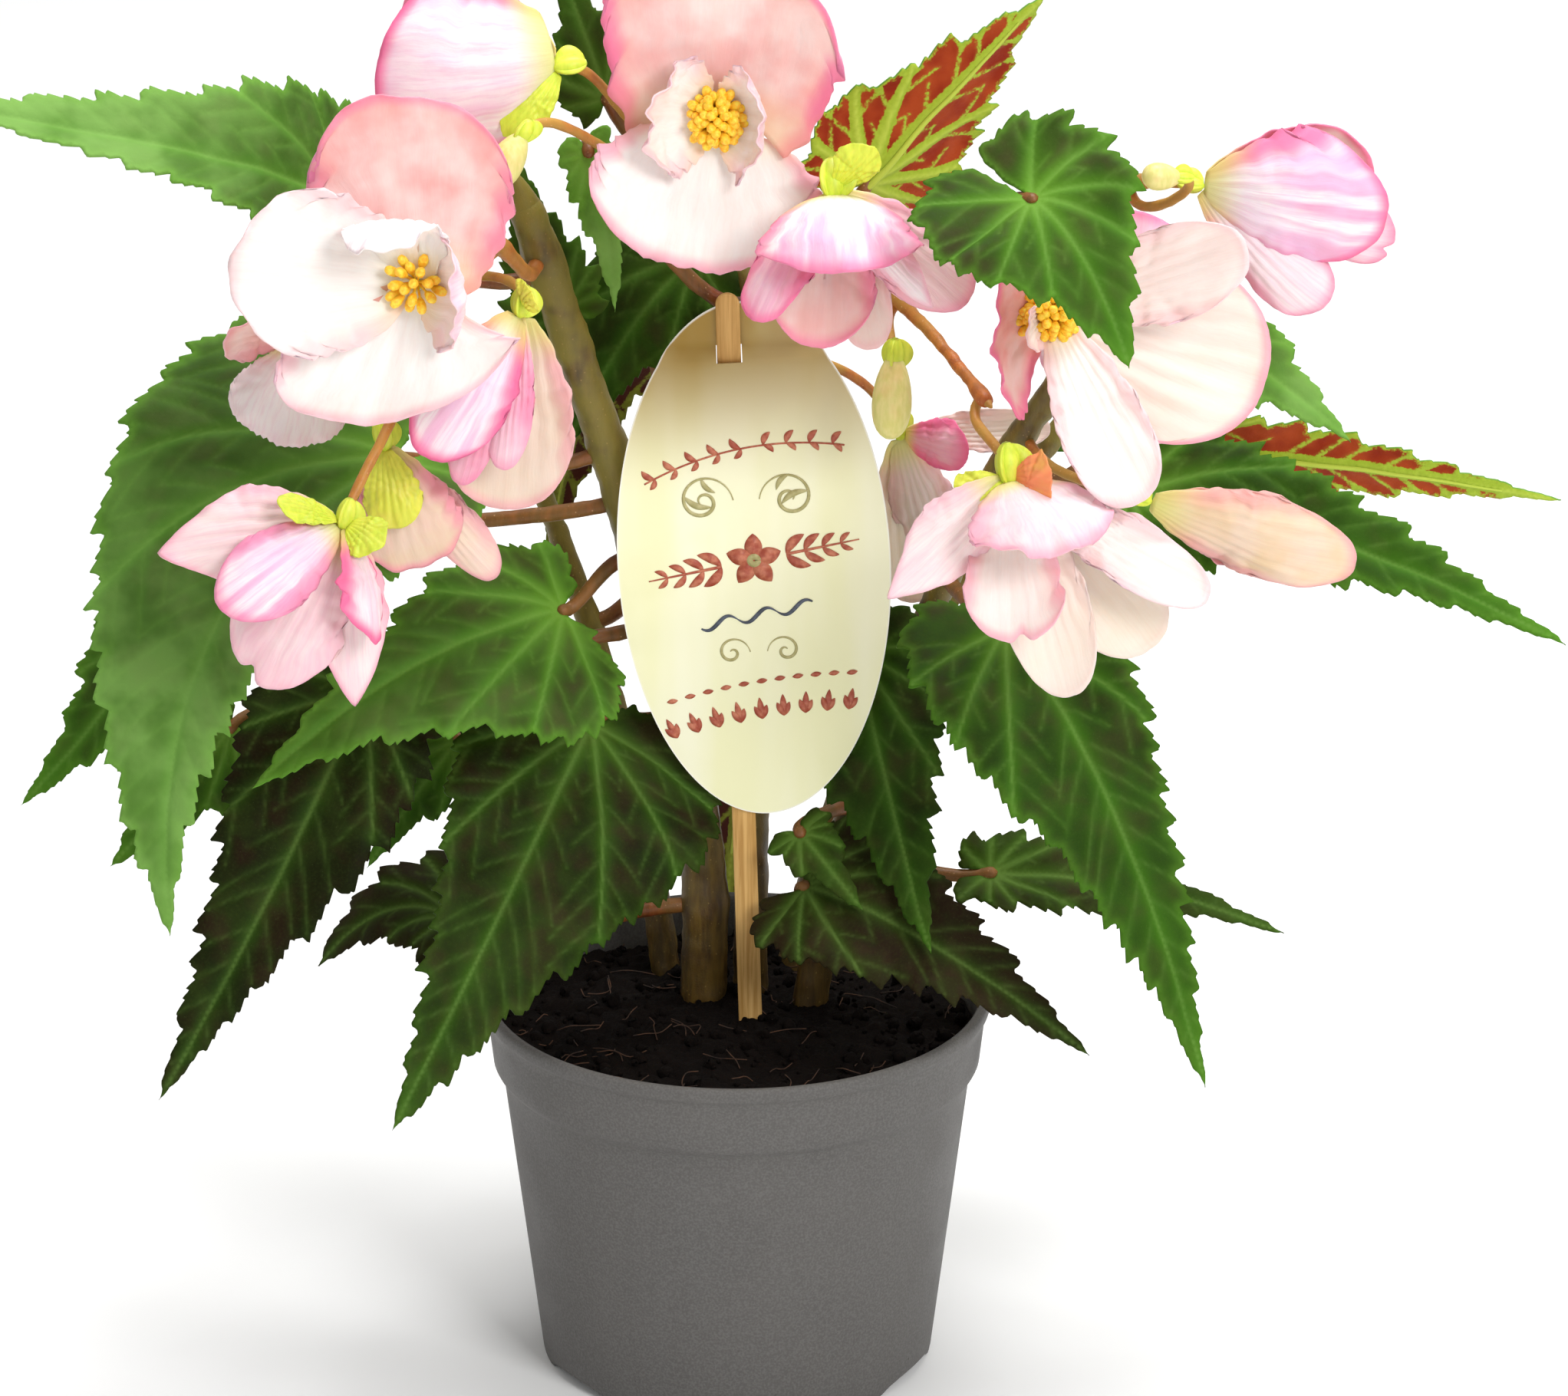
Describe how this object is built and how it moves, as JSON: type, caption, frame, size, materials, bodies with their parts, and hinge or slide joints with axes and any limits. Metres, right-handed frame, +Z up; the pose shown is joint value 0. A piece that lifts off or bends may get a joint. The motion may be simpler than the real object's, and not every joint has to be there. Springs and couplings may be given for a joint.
{
  "type": "potted begonia",
  "caption": "Flowering begonia with toothed, pointed leaves and pale pink flowers in a round grey nursery pot, with an oval label on a wooden stick.",
  "frame": {"origin": "middle of the circle the pot stands on, at floor level", "axes": "+Z up; -Y towards the front, where the label's face points; +X to the right as seen from the front"},
  "size_m": [0.3802, 0.2098, 0.3609],
  "materials": {
    "pot_plastic": "matte grey moulded plastic with a fine speckle",
    "peat": null,
    "label_wood": "plain birch with a fine straight grain",
    "label_card": "cream card with a satin print and a white cut edge",
    "stem": null,
    "flower_stalk": null,
    "leaf": null,
    "petal": "soft, translucent, white to pale pink with a hotter pink edge",
    "bud": null
  },
  "bodies": {
    "root": {"pot": "pot_plastic", "soil": "peat", "label_stick": "label_wood", "label_card": "label_card", "stem_left": "stem", "stem_middle": "stem", "stem_right": "stem", "stem_back_left": "stem", "stem_back_right": "stem", "stalk_left": "flower_stalk", "stalk_top": "flower_stalk", "stalk_middle": "flower_stalk", "stalk_right": "flower_stalk", "leaf_01": "leaf", "leaf_02": "leaf", "leaf_03": "leaf", "leaf_04": "leaf", "leaf_05": "leaf", "leaf_06": "leaf", "leaf_07": "leaf", "leaf_08": "leaf", "leaf_09": "leaf", "leaf_10": "leaf", "leaf_11": "leaf", "leaf_12": "leaf", "leaf_13": "leaf", "leaf_14": "leaf", "leaf_15": "leaf", "leaf_16": "leaf", "leaf_17": "leaf", "leaf_18": "leaf", "leaf_19": "leaf", "leaf_20": "leaf", "leaf_21": "leaf", "leaf_22": "leaf", "leaf_23": "leaf", "leaf_24": "leaf", "leaf_25": "leaf", "leaf_26": "leaf", "leaf_27": "leaf", "leaf_28": "leaf", "flower_01": "petal", "flower_02": "petal", "flower_03": "petal", "flower_04": "petal", "flower_05": "petal", "flower_06": "petal", "flower_07": "petal", "flower_08": "petal", "flower_09": "petal", "flower_10": "petal", "flower_11": "petal", "flower_12": "petal", "flower_13": "petal", "flower_14": "petal", "flower_15": "petal", "flower_16": "petal", "bud_1": "bud", "bud_2": "bud", "bud_3": "bud"}
  },
  "joints": []
}
